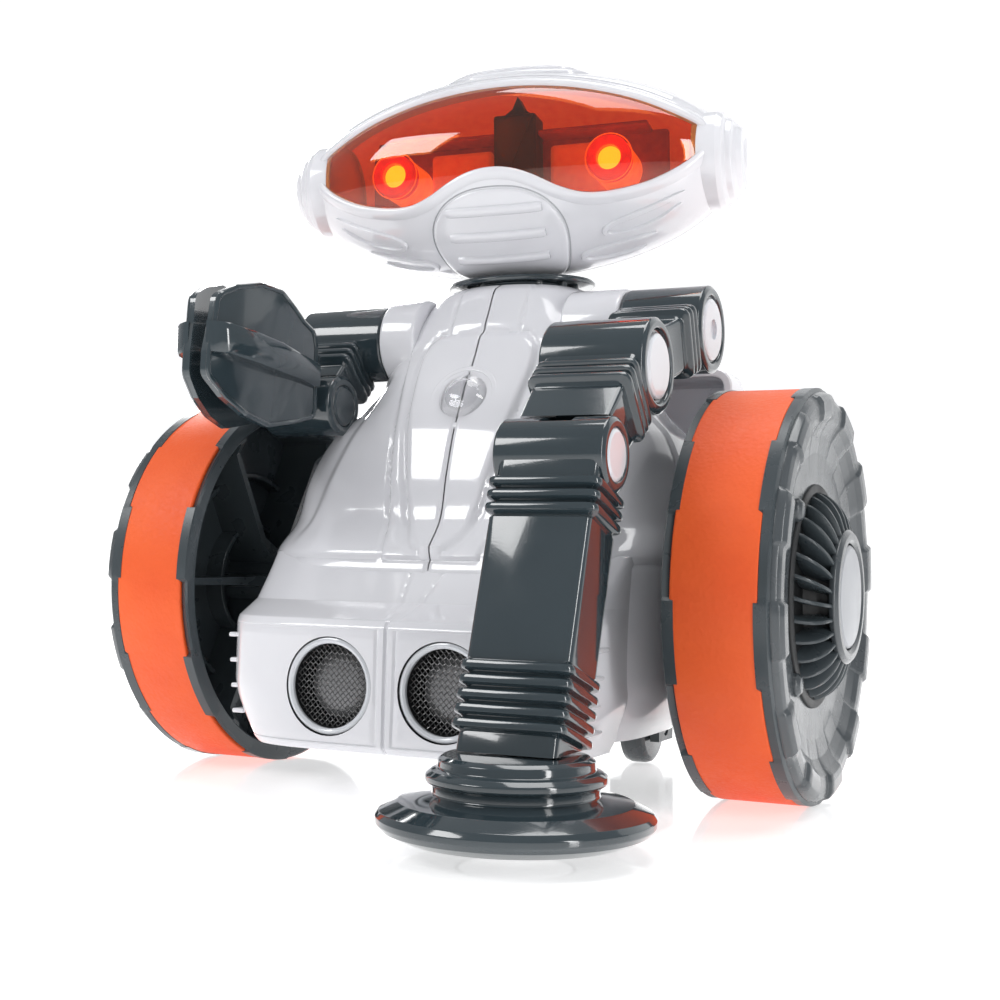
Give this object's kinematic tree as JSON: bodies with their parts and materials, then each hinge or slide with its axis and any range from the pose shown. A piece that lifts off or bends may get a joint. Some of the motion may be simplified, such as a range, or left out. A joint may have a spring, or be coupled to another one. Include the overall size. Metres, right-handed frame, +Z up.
{
  "type": "toy robot car",
  "caption": "Toy robot car on big orange-tyred wheels, with a white body, a turning head with an orange visor, a claw arm and a magnet arm.",
  "frame": {"origin": "bottom centre of the bounding box, on the ground the wheels stand on", "axes": "+Z up, the robot faces -Y, its left side with the magnet arm is +X, and the wheels' axle runs along X"},
  "size_m": [0.17, 0.163, 0.1729],
  "materials": {
    "white_plastic": "glossy white moulded ABS",
    "dark_plastic": "glossy dark slate moulded plastic",
    "grey_plastic": "semi-gloss mid-grey moulded plastic",
    "light_plastic": "satin light-grey moulded plastic",
    "orange_rubber": "leather-grained orange rubber tread band",
    "visor_red": "clear orange-red tinted plastic",
    "clear_lens": "clear and milky moulded lens",
    "lamp_red": "red lamp barrel",
    "steel": "plain steel",
    "board_green": "green circuit board laminate",
    "gear_cream": "unpainted acetal",
    "cell_grey": "plain wrapped cell cases"
  },
  "bodies": {
    "base": {"body_shell_left": "white_plastic", "body_shell_right": "white_plastic", "sensor_housing": "white_plastic", "sonar_ring_left": "white_plastic", "sonar_ring_right": "white_plastic", "range_sensor_left": "light_plastic", "range_sensor_right": "light_plastic", "chest_lens": "clear_lens", "rear_cover": "white_plastic", "battery_door": "white_plastic", "battery_pack": "cell_grey", "chassis": "dark_plastic", "control_board": "board_green", "rear_bracket": "dark_plastic", "gearbox_left": "white_plastic", "gearbox_right": "white_plastic"},
    "wheel_left": {"drive_gear_left": "gear_cream", "wheel_rim_left": "dark_plastic", "tyre_left": "orange_rubber", "wheel_face_left": "grey_plastic", "hub_fins_left": "dark_plastic", "hub_cap_left": "light_plastic"},
    "reduction_left": {"reduction_gear_left": "gear_cream"},
    "pinion_left": {"motor_pinion_left": "steel"},
    "roller_left": {"rear_roller_left": "grey_plastic"},
    "wheel_right": {"drive_gear_right": "gear_cream", "wheel_rim_right": "dark_plastic", "tyre_right": "orange_rubber", "wheel_face_right": "grey_plastic", "hub_fins_right": "dark_plastic", "hub_cap_right": "light_plastic"},
    "reduction_right": {"reduction_gear_right": "gear_cream"},
    "pinion_right": {"motor_pinion_right": "steel"},
    "roller_right": {"rear_roller_right": "grey_plastic"},
    "head": {"head_front": "white_plastic", "head_rear": "white_plastic", "visor": "visor_red", "chin_plate": "white_plastic", "crown_plate": "white_plastic", "ear_left": "white_plastic", "ear_right": "white_plastic", "eye_barrel_left": "lamp_red", "eye_barrel_right": "lamp_red", "eye_bulkhead": "dark_plastic", "neck_post": "dark_plastic"},
    "magnet_upper": {"left_upper_arm": "dark_plastic", "left_shoulder_pin": "light_plastic"},
    "magnet_middle": {"left_middle_arm": "dark_plastic", "left_middle_pin": "light_plastic"},
    "magnet_forearm": {"left_forearm": "dark_plastic", "left_elbow_pin": "light_plastic", "magnet_foot": "dark_plastic", "magnet": "steel"},
    "claw_upper": {"right_upper_arm": "dark_plastic", "right_shoulder_pin": "light_plastic"},
    "claw_palm": {"palm": "dark_plastic", "right_elbow_pin": "dark_plastic"},
    "claw_jaw_inner": {"jaw_inner": "dark_plastic"},
    "claw_jaw_outer": {"jaw_outer": "dark_plastic"},
    "switch": {"power_switch": "dark_plastic"}
  },
  "joints": [
    {"name": "wheel_left_spin", "type": "hinge", "parent": "base", "child": "wheel_left", "pos_m": [0.06, 0.0235, 0.045], "axis": [1, 0, 0], "continuous": true},
    {"name": "reduction_left_spin", "type": "hinge", "parent": "base", "child": "reduction_left", "pos_m": [0.03, 0.02141, 0.06891], "axis": [1, 0, 0], "continuous": true},
    {"name": "pinion_left_spin", "type": "hinge", "parent": "base", "child": "pinion_left", "pos_m": [0.025, 0.03491, 0.085], "axis": [1, 0, 0], "continuous": true},
    {"name": "roller_left_spin", "type": "hinge", "parent": "base", "child": "roller_left", "pos_m": [0.022, 0.0675, 0.009], "axis": [1, 0, 0], "continuous": true},
    {"name": "wheel_right_spin", "type": "hinge", "parent": "base", "child": "wheel_right", "pos_m": [-0.06, 0.0235, 0.045], "axis": [1, 0, 0], "continuous": true},
    {"name": "reduction_right_spin", "type": "hinge", "parent": "base", "child": "reduction_right", "pos_m": [-0.03, 0.02141, 0.06891], "axis": [1, 0, 0], "continuous": true},
    {"name": "pinion_right_spin", "type": "hinge", "parent": "base", "child": "pinion_right", "pos_m": [-0.025, 0.03491, 0.085], "axis": [1, 0, 0], "continuous": true},
    {"name": "roller_right_spin", "type": "hinge", "parent": "base", "child": "roller_right", "pos_m": [-0.022, 0.0675, 0.009], "axis": [1, 0, 0], "continuous": true},
    {"name": "head_turn", "type": "hinge", "parent": "base", "child": "head", "pos_m": [-0.0015, 0.0375, 0.146], "axis": [0.0276, 0.0041, -0.9996], "range_deg": [-60, 60]},
    {"name": "left_shoulder", "type": "hinge", "parent": "base", "child": "magnet_upper", "pos_m": [0.043, 0.0253, 0.1045], "axis": [-1, 0, 0], "range_deg": [0, 30]},
    {"name": "left_middle", "type": "hinge", "parent": "magnet_upper", "child": "magnet_middle", "pos_m": [0.0412, -0.0115, 0.0916], "axis": [-1, 0, 0], "range_deg": [0, 35]},
    {"name": "left_elbow", "type": "hinge", "parent": "magnet_middle", "child": "magnet_forearm", "pos_m": [0.0412, -0.0351, 0.0718], "axis": [-1, 0, 0], "range_deg": [0, 36]},
    {"name": "right_shoulder", "type": "hinge", "parent": "base", "child": "claw_upper", "pos_m": [-0.043, 0.0253, 0.1045], "axis": [-1, 0, 0], "range_deg": [0, 30]},
    {"name": "right_elbow", "type": "hinge", "parent": "claw_upper", "child": "claw_palm", "pos_m": [-0.043, 0.0079, 0.0876], "axis": [-1, 0, 0], "range_deg": [-15, 18]},
    {"name": "jaw_inner_swing", "type": "hinge", "parent": "claw_palm", "child": "claw_jaw_inner", "pos_m": [-0.0401, -0.004, 0.093], "axis": [0, 0, 1], "range_deg": [0, 12]},
    {"name": "jaw_outer_swing", "type": "hinge", "parent": "claw_palm", "child": "claw_jaw_outer", "pos_m": [-0.0459, -0.004, 0.093], "axis": [0, 0, 1], "range_deg": [-12, 0]},
    {"name": "switch_slide", "type": "slide", "parent": "base", "child": "switch", "axis": [1, 0, 0], "range_m": [0, 0.004]}
  ],
  "couplings": [
    {"joint": "reduction_left_spin", "follows": "wheel_left_spin", "ratio": -3},
    {"joint": "pinion_left_spin", "follows": "wheel_left_spin", "ratio": 7.5},
    {"joint": "reduction_right_spin", "follows": "wheel_right_spin", "ratio": -3},
    {"joint": "pinion_right_spin", "follows": "wheel_right_spin", "ratio": 7.5},
    {"joint": "jaw_outer_swing", "follows": "jaw_inner_swing", "ratio": -1}
  ]
}
